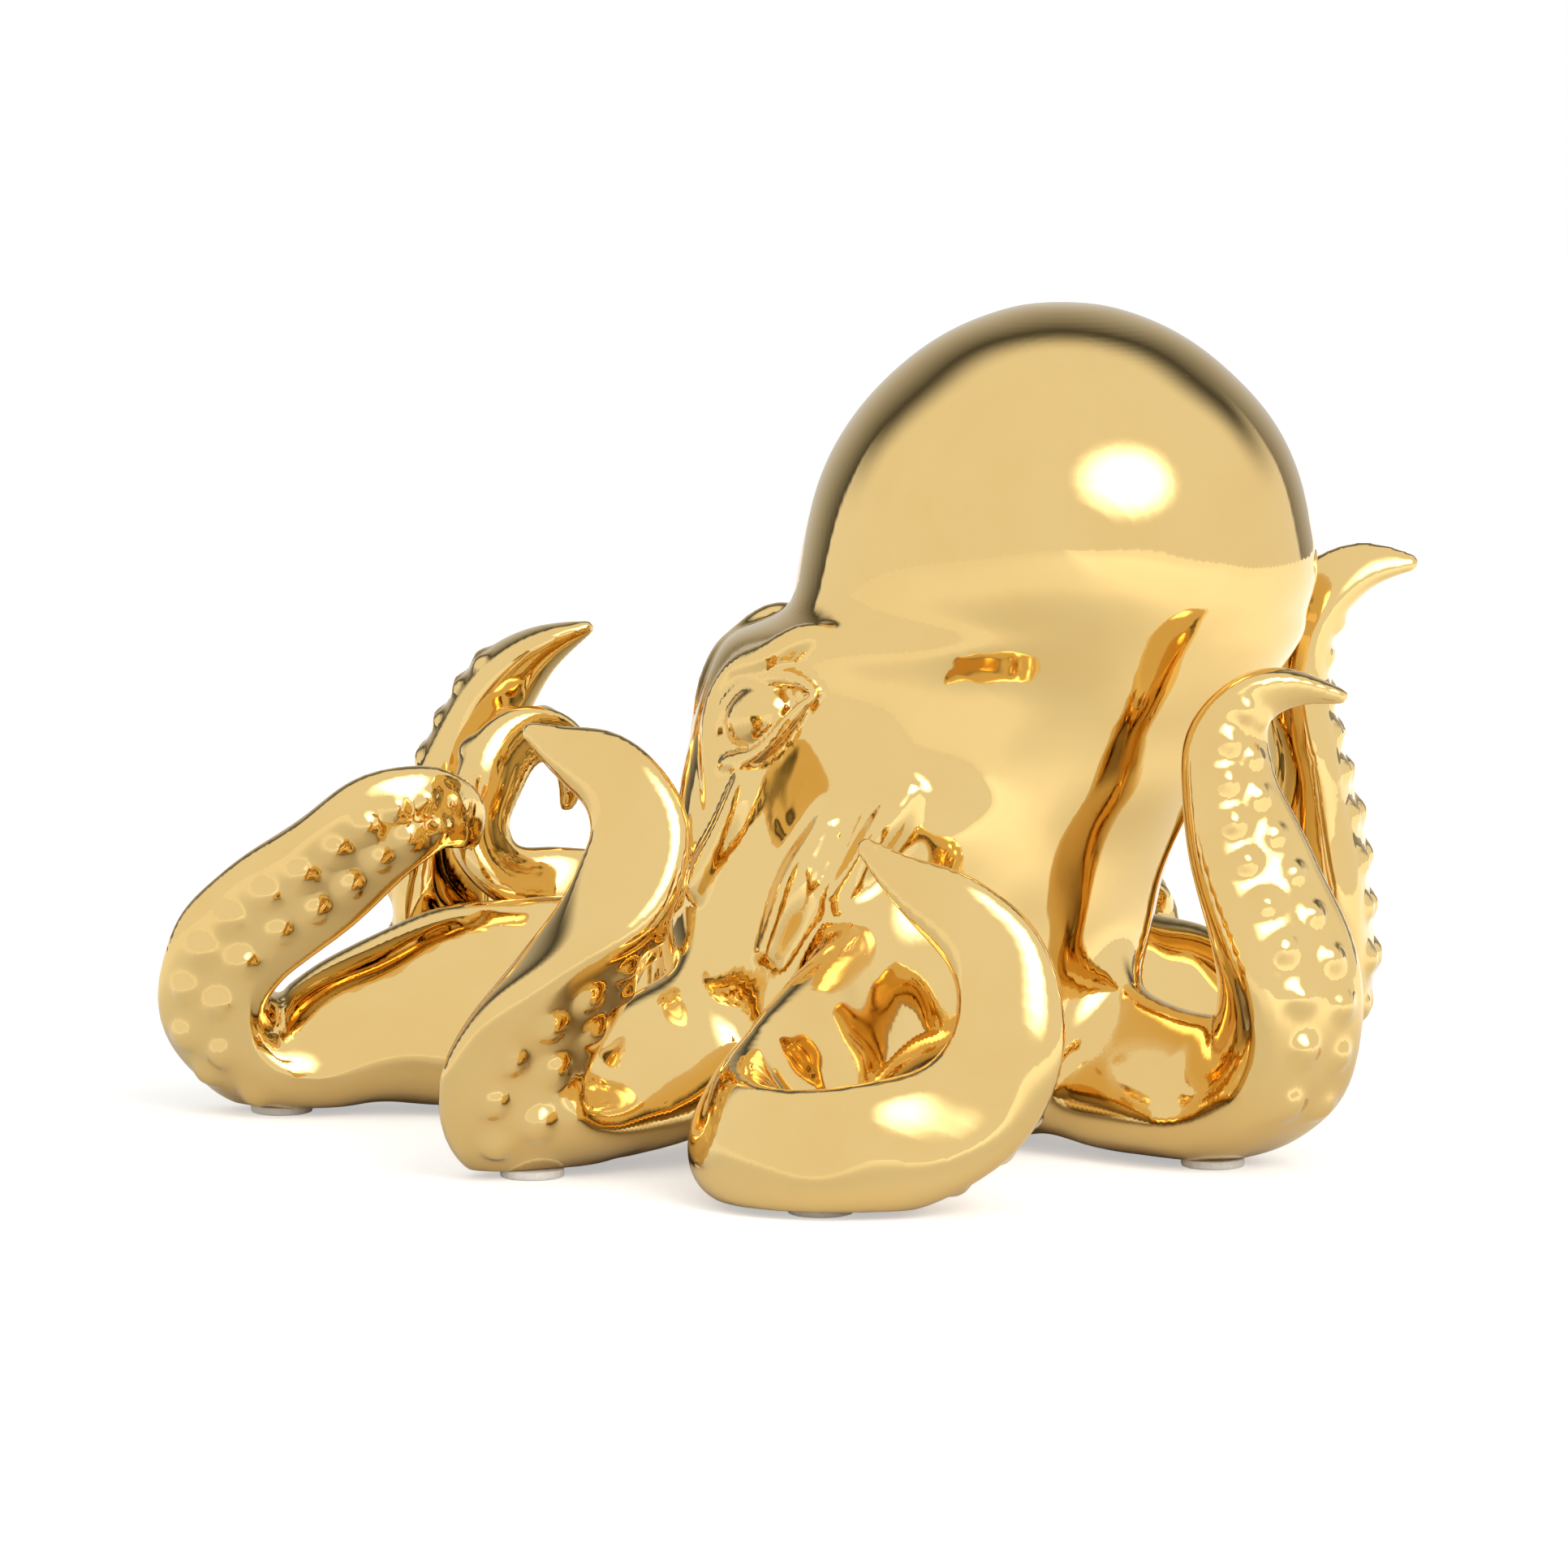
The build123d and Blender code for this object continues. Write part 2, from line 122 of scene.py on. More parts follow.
# Arm courses from the body to the tip: place as shares of the length and depth, height of the
# underside above the pads as a share of the free height, shares of the arm's width and height,
# and twist as a share of a full turn.
ARM_SHARES = {
    "arm_front": (
        (0.125, 0.036, 0.083, 1.00, 0.92, 0), (0.085, -0.054, 0.104, 0.97, 0.83, 0),
        (0.043, -0.162, 0.088, 0.92, 0.75, 0), (-0.003, -0.270, 0.048, 0.86, 0.67, 0),
        (-0.033, -0.360, 0.010, 0.75, 0.62, 0), (-0.020, -0.423, 0.000, 0.67, 0.60, 0),
        (0.026, -0.444, 0.000, 0.69, 0.60, 0), (0.082, -0.437, 0.008, 0.75, 0.62, 0),
        (0.131, -0.423, 0.053, 0.75, 0.58, 0), (0.156, -0.410, 0.136, 0.69, 0.52, 0),
        (0.149, -0.396, 0.222, 0.64, 0.44, 0), (0.118, -0.387, 0.288, 0.53, 0.35, 0),
        (0.084, -0.383, 0.338, 0.33, 0.25, 0), (0.056, -0.378, 0.394, 0.13, 0.10, 0),
    ),
    "arm_right": (
        (0.131, 0.113, 0.033, 1.00, 0.92, 0), (0.197, 0.045, 0.023, 1.00, 0.88, 0),
        (0.259, -0.041, 0.005, 0.97, 0.77, 0), (0.315, -0.108, 0.000, 0.94, 0.71, -0.01),
        (0.357, -0.149, 0.028, 0.92, 0.71, -0.03), (0.370, -0.158, 0.104, 0.92, 0.71, -0.05),
        (0.364, -0.158, 0.179, 0.89, 0.67, -0.07), (0.349, -0.153, 0.263, 0.81, 0.56, -0.08),
        (0.334, -0.149, 0.338, 0.72, 0.48, -0.08), (0.326, -0.144, 0.404, 0.61, 0.44, -0.08),
        (0.329, -0.144, 0.470, 0.56, 0.35, -0.07), (0.348, -0.144, 0.520, 0.42, 0.27, -0.06),
        (0.380, -0.144, 0.543, 0.28, 0.19, -0.04), (0.416, -0.144, 0.545, 0.11, 0.084, -0.03),
    ),
    "arm_front_left": (
        (0.066, 0.068, 0.033, 1.06, 0.92, 0), (-0.020, 0.014, 0.023, 1.06, 0.92, 0),
        (-0.085, -0.054, 0.018, 1.03, 0.79, 0), (-0.134, -0.120, 0.008, 0.97, 0.65, 0.01),
        (-0.174, -0.171, 0.000, 0.94, 0.56, 0.04), (-0.206, -0.212, 0.016, 0.92, 0.51, 0.09),
        (-0.211, -0.238, 0.084, 0.92, 0.48, 0.15), (-0.187, -0.243, 0.142, 0.94, 0.50, 0.20),
        (-0.154, -0.239, 0.204, 0.94, 0.50, 0.26), (-0.126, -0.230, 0.270, 0.86, 0.50, 0.32),
        (-0.118, -0.221, 0.354, 0.75, 0.44, 0.38), (-0.139, -0.212, 0.422, 0.56, 0.33, 0.42),
        (-0.174, -0.203, 0.467, 0.33, 0.23, 0.46), (-0.195, -0.203, 0.505, 0.14, 0.10, 0.47),
    ),
    "arm_left": (
        (0.016, 0.189, 0.038, 1.06, 0.96, 0), (-0.098, 0.225, 0.018, 1.06, 1.04, 0),
        (-0.197, 0.252, 0.008, 1.06, 1.04, 0), (-0.289, 0.261, 0.003, 1.00, 0.96, 0),
        (-0.354, 0.257, 0.000, 0.92, 0.76, 0), (-0.410, 0.246, 0.000, 0.83, 0.60, 0.04),
        (-0.449, 0.230, 0.068, 0.78, 0.54, 0.11), (-0.433, 0.212, 0.162, 0.78, 0.50, 0.16),
        (-0.385, 0.198, 0.232, 0.81, 0.48, 0.20), (-0.341, 0.189, 0.290, 0.75, 0.44, 0.21),
        (-0.305, 0.189, 0.326, 0.67, 0.38, 0.18), (-0.275, 0.203, 0.338, 0.53, 0.29, 0.17),
        (-0.259, 0.225, 0.328, 0.33, 0.19, 0.15), (-0.254, 0.243, 0.321, 0.13, 0.10, 0.15),
    ),
    "arm_rear_right": (
        (0.180, 0.216, 0.028, 1.00, 0.88, 0), (0.256, 0.279, 0.008, 1.00, 0.96, 0),
        (0.321, 0.333, 0.008, 0.97, 0.83, 0), (0.377, 0.360, 0.000, 0.92, 0.63, 0),
        (0.418, 0.360, 0.053, 0.86, 0.54, 0), (0.426, 0.356, 0.139, 0.89, 0.54, 0),
        (0.421, 0.351, 0.237, 0.86, 0.52, 0), (0.411, 0.347, 0.338, 0.81, 0.48, 0),
        (0.402, 0.342, 0.437, 0.75, 0.42, 0), (0.405, 0.338, 0.523, 0.61, 0.38, 0),
        (0.426, 0.333, 0.588, 0.47, 0.33, 0), (0.457, 0.329, 0.629, 0.31, 0.25, 0),
        (0.493, 0.324, 0.653, 0.14, 0.10, 0),
    ),
    "arm_rear_left": (
        (0.095, 0.200, 0.043, 0.94, 0.80, 0), (0.033, 0.293, 0.043, 0.94, 0.83, 0),
        (-0.059, 0.351, 0.030, 0.94, 0.88, 0), (-0.148, 0.396, 0.012, 0.92, 0.81, 0),
        (-0.220, 0.419, 0.000, 0.86, 0.69, 0), (-0.266, 0.423, 0.071, 0.78, 0.58, 0),
        (-0.280, 0.423, 0.164, 0.75, 0.54, 0), (-0.274, 0.423, 0.263, 0.72, 0.52, 0),
        (-0.261, 0.423, 0.348, 0.69, 0.48, 0), (-0.243, 0.419, 0.424, 0.61, 0.42, 0),
        (-0.221, 0.410, 0.482, 0.50, 0.33, 0), (-0.197, 0.401, 0.523, 0.33, 0.23, 0),
        (-0.164, 0.392, 0.566, 0.11, 0.08, 0),
    ),
    "arm_raised_left": (
        (0.098, 0.190, 0.100, 0.78, 0.70, 0), (0.033, 0.279, 0.104, 0.72, 0.67, 0),
        (-0.059, 0.315, 0.154, 0.61, 0.58, 0), (-0.144, 0.333, 0.192, 0.50, 0.48, 0),
        (-0.197, 0.329, 0.222, 0.44, 0.38, 0), (-0.233, 0.311, 0.253, 0.42, 0.31, 0),
        (-0.248, 0.315, 0.301, 0.42, 0.33, 0), (-0.239, 0.329, 0.354, 0.47, 0.35, 0),
        (-0.221, 0.347, 0.396, 0.47, 0.33, 0), (-0.195, 0.360, 0.409, 0.39, 0.27, 0),
        (-0.177, 0.369, 0.379, 0.25, 0.19, 0), (-0.180, 0.369, 0.351, 0.11, 0.08, 0),
    ),
    "arm_rear": (
        (0.105, 0.225, 0.058, 1.00, 0.88, 0), (0.118, 0.324, 0.043, 0.94, 0.79, 0),
        (0.138, 0.405, 0.013, 0.86, 0.67, 0), (0.177, 0.446, 0.000, 0.75, 0.62, 0),
        (0.226, 0.450, 0.008, 0.72, 0.60, 0), (0.266, 0.437, 0.068, 0.69, 0.54, 0),
        (0.272, 0.428, 0.149, 0.64, 0.46, 0), (0.246, 0.414, 0.220, 0.50, 0.38, 0),
        (0.207, 0.410, 0.270, 0.33, 0.25, 0), (0.174, 0.410, 0.321, 0.11, 0.08, 0),
    ),
}

# The row at which each arm's suckers start, and the last row that blends into the body.
FIRST_SUCKER_ROW = {
    "arm_front": 6, "arm_right": 4, "arm_front_left": 5, "arm_left": 5,
    "arm_rear_right": 4, "arm_rear_left": 5, "arm_raised_left": 7, "arm_rear": 5,
}
LAST_ROOT_ROW = {
    "arm_front": 3, "arm_right": 3, "arm_front_left": 3, "arm_left": 2,
    "arm_rear_right": 2, "arm_rear_left": 2, "arm_rear": 2,
}

# Ridges on each side of the head: distance in front of the mantle's axis, distance out from
# the middle of the head, height and radius in millimetres, and the width each is melted over.
BROW = (
    (57.0, 29.0, 121.0, 2.2), (62.5, 27.0, 122.2, 3.4), (68.0, 24.6, 120.4, 4.0),
    (72.9, 21.3, 116.9, 4.2), (78.4, 13.3, 113.6, 4.0), (82.6, 8.9, 106.2, 3.8),
    (84.2, 9.3, 98.0, 3.3), (85.0, 11.5, 89.5, 2.4), (85.6, 14.0, 80.0, 1.2),
)
UPPER_LID = (
    (83.6, 12.0, 96.0, 1.2), (83.0, 12.6, 102.0, 1.9), (79.6, 15.6, 108.6, 2.2),
    (74.0, 21.8, 112.2, 2.2), (68.0, 28.2, 112.6, 1.9), (63.2, 33.0, 109.6, 1.1),
)
LOWER_LID = (
    (84.0, 14.0, 90.0, 1.0), (82.0, 18.0, 92.0, 1.7), (77.8, 22.8, 93.6, 1.9), (72.4, 27.8, 98.6, 1.8),
    (68.0, 31.2, 104.8, 1.5), (63.6, 34.0, 109.4, 0.9),
)
CHEEK = (
    (79.4, 23.4, 88.6, 1.2), (82.0, 22.4, 80.6, 2.6), (85.4, 20.0, 72.0, 2.8),
    (90.0, 17.0, 62.0, 1.6),
)
JAW = (
    (62.0, 37.8, 80.0, 1.4), (66.5, 38.2, 71.0, 3.2), (71.0, 37.6, 60.0, 3.6),
    (75.0, 36.5, 49.0, 2.0),
)
NECK_FOLD = (
    (43.0, 44.0, 88.0, 1.2), (48.5, 44.6, 80.0, 2.8), (54.0, 44.0, 71.0, 2.8),
    (59.0, 43.0, 62.0, 1.4),
)
HEAD_RIDGES = (
    (BROW, 1.8), (UPPER_LID, 0.9), (LOWER_LID, 0.9), (CHEEK, 5.0), (JAW, 6.0), (NECK_FOLD, 6.0),
)


def smooth_rows(rows, count):
    """Natural cubic through the rows, spaced by the distance between their first three columns.

    The second derivatives solve a band of equations, one for each inner row, and every value is
    then the usual cubic between two rows.
    """
    rows = np.asarray(rows, float)
    steps = np.linalg.norm(np.diff(rows[:, :3], axis=0), axis=1)
    along = np.concatenate([[0], np.cumsum(steps)])
    size = len(rows)
    system = np.eye(size)
    right = np.zeros_like(rows)
    inner = np.arange(1, size - 1)
    before, after = steps[:-1], steps[1:]
    system[inner, inner - 1] = before
    system[inner, inner] = 2 * (before + after)
    system[inner, inner + 1] = after
    slopes = np.diff(rows, axis=0) / steps[:, None]
    right[1:-1] = 6 * np.diff(slopes, axis=0)
    bends = np.linalg.solve(system, right)
    wanted = np.linspace(0, along[-1], count)
    piece = np.clip(np.searchsorted(along, wanted) - 1, 0, size - 2)
    to_end = (along[piece + 1] - wanted)[:, None]
    from_start = (wanted - along[piece])[:, None]
    step = steps[piece][:, None]
    curve = (bends[piece] * to_end**3 + bends[piece + 1] * from_start**3) / (6 * step)
    start = (rows[piece] / step - bends[piece] * step / 6) * to_end
    end = (rows[piece + 1] / step - bends[piece + 1] * step / 6) * from_start
    return curve + start + end


def arm_rows(shares):
    """Rows of an arm in millimetres: centre, half width, half height and twist in radians."""
    table = np.array(shares, float)
    rows = np.empty((len(table), 6))
    rows[:, 0] = table[:, 0] * FIGURE_LENGTH
    rows[:, 1] = table[:, 1] * FIGURE_DEPTH
    rows[:, 3] = table[:, 3] * ARM_WIDTH / 2
    rows[:, 4] = table[:, 4] * ARM_HEIGHT / 2
    lift = table[:, 2] * (FIGURE_HEIGHT - PAD_THICKNESS)
    rows[:, 2] = PAD_THICKNESS - SEAT_DEPTH + lift + rows[:, 4]
    rows[:, 5] = table[:, 5] * 2 * np.pi
    return rows


def arm_frames(course):
    """Side and up directions along a course; up starts vertical and is carried along it.

    Each up direction is the last one laid flat on the plane square to the course, and both are
    then turned about the course by its twist.
    """
    heading = np.gradient(course[:, :3], axis=0)
    heading /= np.linalg.norm(heading, axis=1)[:, None]
    up = np.empty_like(heading)
    last = np.array((0.0, 0.0, 1.0))
    for index, ahead in enumerate(heading):
        last = last - ahead * (last @ ahead)
        last /= np.linalg.norm(last)
        up[index] = last
    side = np.cross(up, heading)
    cosine, sine = np.cos(course[:, 5:6]), np.sin(course[:, 5:6])
    return side * cosine + up * sine, up * cosine - side * sine, heading


def section(angle, half_width, half_height):
    """Arm section: an oval that narrows towards its keel and is a little flat on its belly."""
    across = half_width * np.sin(angle) * (1 - KEEL_SHARE * np.cos(angle))
    up = half_height * (np.cos(angle) - FLAT_BELLY_SHARE * (1 - np.cos(2 * angle)))
    return across, up


def capped_tube(rings):
    """Closed tube through rings of points: a triangle pair for each cell, and a fan at each end."""
    count, around = rings.shape[:2]
    ends = rings[0].mean(0)[None], rings[-1].mean(0)[None]
    points = np.concatenate([rings.reshape(-1, 3), *ends])
    here = np.arange(around)
    after = (here + 1) % around
    start = np.arange(count - 1)[:, None] * around
    low, low_after = start + here, start + after
    high, high_after = low + around, low_after + around
    sides = np.stack([low, low_after, high_after, low, high_after, high], -1).reshape(-1, 3)
    first = np.stack([after, here, np.full(around, count * around)], -1)
    last_start = (count - 1) * around
    last = np.stack([last_start + here, last_start + after, np.full(around, count * around + 1)], -1)
    return points, np.concatenate([sides, first, last])


def arm_surface(rows, count=220, around=56):
    """Closed arm: its section carried along its course, with a half round over the tip."""
    course = smooth_rows(rows, count)
    side, up, heading = arm_frames(course)
    angle = np.linspace(0, 2 * np.pi, around, endpoint=False)
    across, rise = section(angle, course[:, 3:4], course[:, 4:5])
    rings = course[:, None, :3] + across[..., None] * side[:, None] + rise[..., None] * up[:, None]
    dome = np.radians((20, 40, 58, 74, 86))
    end = rings[-1] - course[-1, :3]
    reach = min(course[-1, 3], course[-1, 4])
    narrower, further = np.cos(dome)[:, None, None], np.sin(dome)[:, None, None]
    over = course[-1, :3] + end * narrower + heading[-1] * reach * further
    return capped_tube(np.concatenate([rings, over]))


def head_place(forward, out, height, side):
    """Point of the head in the figure's frame, from distances ahead of and beside its axis."""
    turn = np.radians(HEAD_TURN)
    ahead = -np.array((np.cos(turn), np.sin(turn)))
    beside = side * np.array((np.sin(turn), -np.cos(turn)))
    flat = MANTLE_AXIS + np.multiply.outer(forward, ahead) + np.multiply.outer(out, beside)
    return np.concatenate([flat, np.asarray(height, float)[..., None]], -1)


def body_surface(count=150, around=120):
    """Closed body: level ovals with a narrower front end, on centres that lean to the mantle.

    The rows are spaced by how far the centre and the half length move together, so that the
    crown, which closes within a millimetre of height, stays round.
    """
    table = np.array(BODY_SHARES, float)
    rows = np.stack([
        table[:, 1] * FIGURE_LENGTH, table[:, 2] * FIGURE_LENGTH, table[:, 0] * FIGURE_HEIGHT,
        table[:, 3] * FIGURE_DEPTH, table[:, 4],
    ], 1)
    course = smooth_rows(rows, count)
    angle = np.linspace(0, 2 * np.pi, around, endpoint=False)
    along = course[:, 1:2] * np.cos(angle)
    across = course[:, 3:4] * np.sin(angle) * (1 + course[:, 4:5] * np.cos(angle))
    height = course[:, 2:3] + 0 * angle
    return capped_tube(head_place(course[:, 0:1] - along, -across, height, 1))


def strand(points, count=60, around=16):
    """Round strand through points that carry a radius, closed at both ends."""
    course = smooth_rows(points, count)
    heading = np.gradient(course[:, :3], axis=0)
    heading /= np.linalg.norm(heading, axis=1)[:, None]
    side = np.cross(heading, (0.0, 0.0, 1.0))
    side /= np.linalg.norm(side, axis=1)[:, None]
    up = np.cross(side, heading)
    angle = np.linspace(0, 2 * np.pi, around, endpoint=False)
    offset = np.cos(angle)[:, None] * side[:, None] + np.sin(angle)[:, None] * up[:, None]
    return capped_tube(course[:, None, :3] + course[:, None, 3:4] * offset)


# Field of distances over the figure's box, on a grid with one grain between its points.
FIELD_LOW = np.floor(np.array((-160.0, -118.0, -6.0)) / GRAIN).astype(int)
FIELD_HIGH = np.ceil(np.array((160.0, 118.0, 206.0)) / GRAIN).astype(int)
FIELD_SHAPE = tuple(FIELD_HIGH - FIELD_LOW)


def distance(surface, reach):
    """Signed distance to a closed surface over the whole field, cut off at a reach."""
    points, triangles = surface
    grid = openvdb.FloatGrid.createLevelSetFromPolygons(
        np.ascontiguousarray(points, np.float32),
        triangles=np.ascontiguousarray(triangles, np.uint32),
        transform=openvdb.createLinearTransform(GRAIN),
        halfWidth=reach / GRAIN,
    )
    field = np.empty(FIELD_SHAPE, np.float32)
    grid.copyToArray(field, ijk=tuple(int(v) for v in FIELD_LOW))
    return field


def melted(first, second, width):
    """Union of two distance fields whose crease is filled over a width."""
    near = np.clip(width - np.abs(first - second), 0, None)
    return np.minimum(first, second) - near * near / (4 * width)


def window(centre, reach):
    """Slices of the field round a point, and the points' places in millimetres."""
    low = np.floor((centre - reach) / GRAIN).astype(int) - FIELD_LOW
    high = np.ceil((centre + reach) / GRAIN).astype(int) - FIELD_LOW + 1
    low, high = np.clip(low, 0, FIELD_SHAPE), np.clip(high, 0, FIELD_SHAPE)
    axes = [(np.arange(a, b) + c) * GRAIN for a, b, c in zip(low, high, FIELD_LOW)]
    part = tuple(slice(a, b) for a, b in zip(low, high))
    return part, np.stack(np.meshgrid(*axes, indexing="ij"), -1)


def sucker_places(rows, first_row):
    """Centres, outward directions and diameters of an arm's two rows of suckers."""
    course = smooth_rows(rows, 400)
    knots = np.linalg.norm(course[:, None, :3] - rows[None, :, :3], axis=2).argmin(0)
    course_side, course_up, _ = arm_frames(course)
    part = slice(knots[first_row], knots[-3] + 1)
    places = []
    for side in (1, -1):
        angle = np.pi + side * 2 * np.pi * SUCKER_ROW_SHARE
        across, rise = section(angle, course[part, 3], course[part, 4])
        line = course[part, :3] + across[:, None] * course_side[part]
        line = line + rise[:, None] * course_up[part]
        outward = line - course[part, :3]
        outward /= np.linalg.norm(outward, axis=1)[:, None]
        travelled = np.concatenate([[0], np.cumsum(np.linalg.norm(np.diff(line, axis=0), axis=1))])
        at = SUCKER_DIAMETER / 2
        while at < travelled[-1]:
            share = at / travelled[-1]
            diameter = SUCKER_DIAMETER + (TIP_SUCKER_DIAMETER - SUCKER_DIAMETER) * share
            index = np.searchsorted(travelled, at)
            places.append((line[index], outward[index], diameter))
            at += diameter * (1 + SUCKER_GAP_SHARE)
    return places


def add_suckers(field, places):
    """Low domes: balls sunk until they stand out by the dome's height, their feet melted in.

    A dome of diameter d and height h is cut from a ball of radius (d d / 4 + h h) / 2 h.
    """
    for place, outward, diameter in places:
        height = diameter * SUCKER_HEIGHT_SHARE
        radius = (diameter**2 / 4 + height**2) / (2 * height)
        centre = place - outward * (radius - height)
        if place[2] < PAD_THICKNESS + diameter / 2:
            continue
        part, points = window(centre, radius + 4)
        ball = np.linalg.norm(points - centre, axis=-1) - radius
        field[part] = melted(field[part], ball.astype(np.float32), SUCKER_MELT)


def hand_modelled(field):
    """Unevenness of a surface modelled by hand: products of long sine waves, fainter on the dome.

    Two products, each of two waves 35 to 75 mm long, move the surface by up to 0.7 mm below the
    eyes' height, and by about an eighth of that over the mantle.
    """
    axes = [(np.arange(n) + c) * GRAIN for n, c in zip(FIELD_SHAPE, FIELD_LOW)]
    shapes = ((-1, 1, 1), (1, -1, 1), (1, 1, -1))
    x, y, z = (axis.reshape(shape).astype(np.float32) for axis, shape in zip(axes, shapes))
    waves = np.sin(x / 5.9 + y / 9.7 + 0.6) * np.sin(z / 7.3 - x / 12.0)
    waves = waves + np.sin(y / 6.7 - z / 8.9 + 1.9) * np.sin(x / 8.3 + z / 10.7)
    field += HAND_DEPTH * np.clip((140 - z) / 40, 0.12, 1) * waves


def oval(places, half_sizes):
    """Rough distance to an oval ball: how far out a place is as a share of it, times its depth."""
    squares = [(place / half) ** 2 for place, half in zip(places, half_sizes)]
    return (np.sqrt(squares[0] + squares[1] + squares[2]) - 1) * half_sizes[2]


def carved_face(field):
    """Head details on both sides: socket, eye, brow, two lids, and folds of cheek, jaw and neck."""
    for side in (1, -1):
        middle = head_place(*EYE_PLACE, side)
        facing = head_place(*np.add(EYE_PLACE, EYE_FACING), side) - middle
        facing /= np.linalg.norm(facing)
        along = np.cross((0.0, 0.0, 1.0), facing)
        along /= np.linalg.norm(along)
        upward = np.cross(facing, along)
        part, points = window(middle, EYE_WINDOW)
        local = points - middle
        u, v, w = local @ along, local @ upward, local @ facing
        level, tilted = EYE_TILT
        u, v = u * level + v * tilted, v * level - u * tilted
        socket = oval((u, v, w), SOCKET_HALF_SIZES)
        field[part] = -melted(-field[part], socket.astype(np.float32), SOCKET_MELT)
        ball = oval((u, v, w + EYE_SINK), EYE_HALF_SIZES)
        field[part] = melted(field[part], ball.astype(np.float32), EYE_MELT)
        for ridge, width in HEAD_RIDGES:
            ridge = np.array(ridge)
            points = head_place(ridge[:, 0], ridge[:, 1], ridge[:, 2], side)
            line = distance(strand(np.concatenate([points, ridge[:, 3:4]], 1)), NEAR_REACH)
            field[...] = melted(field, line, width)
    return field


def skin(field):
    """Triangles of the surface where a field is zero, in millimetres, with outward normals.

    The mesh is relaxed by moving each point towards the mean of its neighbours and back out
    again, which keeps its size. The rearmost coils then ease in with the square of how far back
    they reach, so that they stay inside the figure's depth.
    """
    grid = openvdb.FloatGrid(float(NEAR_REACH))
    grid.transform = openvdb.createLinearTransform(GRAIN)
    start = tuple(int(v) for v in FIELD_LOW)
    grid.copyFromArray(np.clip(field, -NEAR_REACH, NEAR_REACH), ijk=start)
    points, quads = grid.convertToQuads(0.0)
    points, quads = points.astype(float), quads.astype(np.int64)[:, ::-1]
    edges = np.concatenate([quads[:, pair] for pair in ((0, 1), (1, 2), (2, 3), (3, 0))])
    near = np.bincount(edges.ravel(), minlength=len(points)).astype(float)
    for share in RELAX_STEPS:
        total = np.empty_like(points)
        for axis in range(3):
            total[:, axis] = np.bincount(edges[:, 0], points[edges[:, 1], axis], len(points))
            total[:, axis] += np.bincount(edges[:, 1], points[edges[:, 0], axis], len(points))
        points += share * (total / near[:, None] - points)
    points[:, 1] -= REAR_EASE * np.maximum(points[:, 1] - REAR_EASE_START, 0) ** 2
    triangles = np.concatenate([quads[:, (0, 1, 2)], quads[:, (0, 2, 3)]])
    corner = points[triangles]
    facing = np.cross(corner[:, 1] - corner[:, 0], corner[:, 2] - corner[:, 0])
    normals = np.empty_like(points)
    for axis in range(3):
        pull = np.repeat(facing[:, axis], 3)
        normals[:, axis] = np.bincount(triangles.ravel(), pull, len(points))
    normals /= np.linalg.norm(normals, axis=1)[:, None]
    return points, triangles, normals


def read_field(field, points):
    """Values of a field at the grid points nearest to some places."""
    index = np.rint(points / GRAIN).astype(int) - FIELD_LOW
    index = np.clip(index, 0, np.array(FIELD_SHAPE) - 1)
    return field[tuple(index.T)]


def new_piece(name, points, triangles, normals, material):
    """Mesh object from points in millimetres and triangles, with any corner normals given."""
    mesh = bpy.data.meshes.new(name)
    mesh.vertices.add(len(points))
    mesh.vertices.foreach_set("co", (points * METRES_PER_MM).astype(np.float32).ravel())
    mesh.loops.add(triangles.size)
    mesh.loops.foreach_set("vertex_index", triangles.astype(np.int32).ravel())
    mesh.polygons.add(len(triangles))
    mesh.polygons.foreach_set("loop_start", np.arange(0, triangles.size, 3, dtype=np.int32))
    mesh.polygons.foreach_set("use_smooth", np.ones(len(triangles), bool))
    mesh.update(calc_edges=True)
    mesh.validate()
    if normals is not None:
        mesh.normals_split_custom_set(normals.reshape(-1, 3).astype(np.float32))
    mesh.materials.append(material)
    piece = bpy.data.objects.new(name, mesh)
    bpy.context.scene.collection.objects.link(piece)
    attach(piece, "root")
    return piece


def closed_part(points, triangles, normals, chosen, inner):
    """One region of a skin, closed by a cone from its open edges to a point inside the figure."""
    own = triangles[chosen]
    edges = np.concatenate([own[:, (0, 1)], own[:, (1, 2)], own[:, (2, 0)]])
    key = np.sort(edges, axis=1) @ np.array((len(points), 1))
    _, first, count = np.unique(key, return_index=True, return_counts=True)
    rim = edges[first[count == 1]]
    cone = np.stack([rim[:, 1], rim[:, 0], np.full(len(rim), len(points))], -1)
    every = np.concatenate([points, inner[None]])
    faces = np.concatenate([own, cone])
    corners = np.zeros((len(faces), 3, 3))
    corners[: len(own)] = normals[own]
    flat = every[cone]
    facing = np.cross(flat[:, 1] - flat[:, 0], flat[:, 2] - flat[:, 0])
    facing /= np.maximum(np.linalg.norm(facing, axis=1), 1e-9)[:, None]
    corners[len(own) :] = facing[:, None]
    used, renumbered = np.unique(faces, return_inverse=True)
    return every[used], renumbered.reshape(-1, 3), corners


# Materials.
def node(tree, kind, **values):
    """Shader node with some of its inputs or settings given."""
    made = tree.nodes.new(kind)
    for name, value in values.items():
        if hasattr(made, name):
            setattr(made, name, value)
        else:
            made.inputs[name.replace("_", " ")].default_value = value
    return made


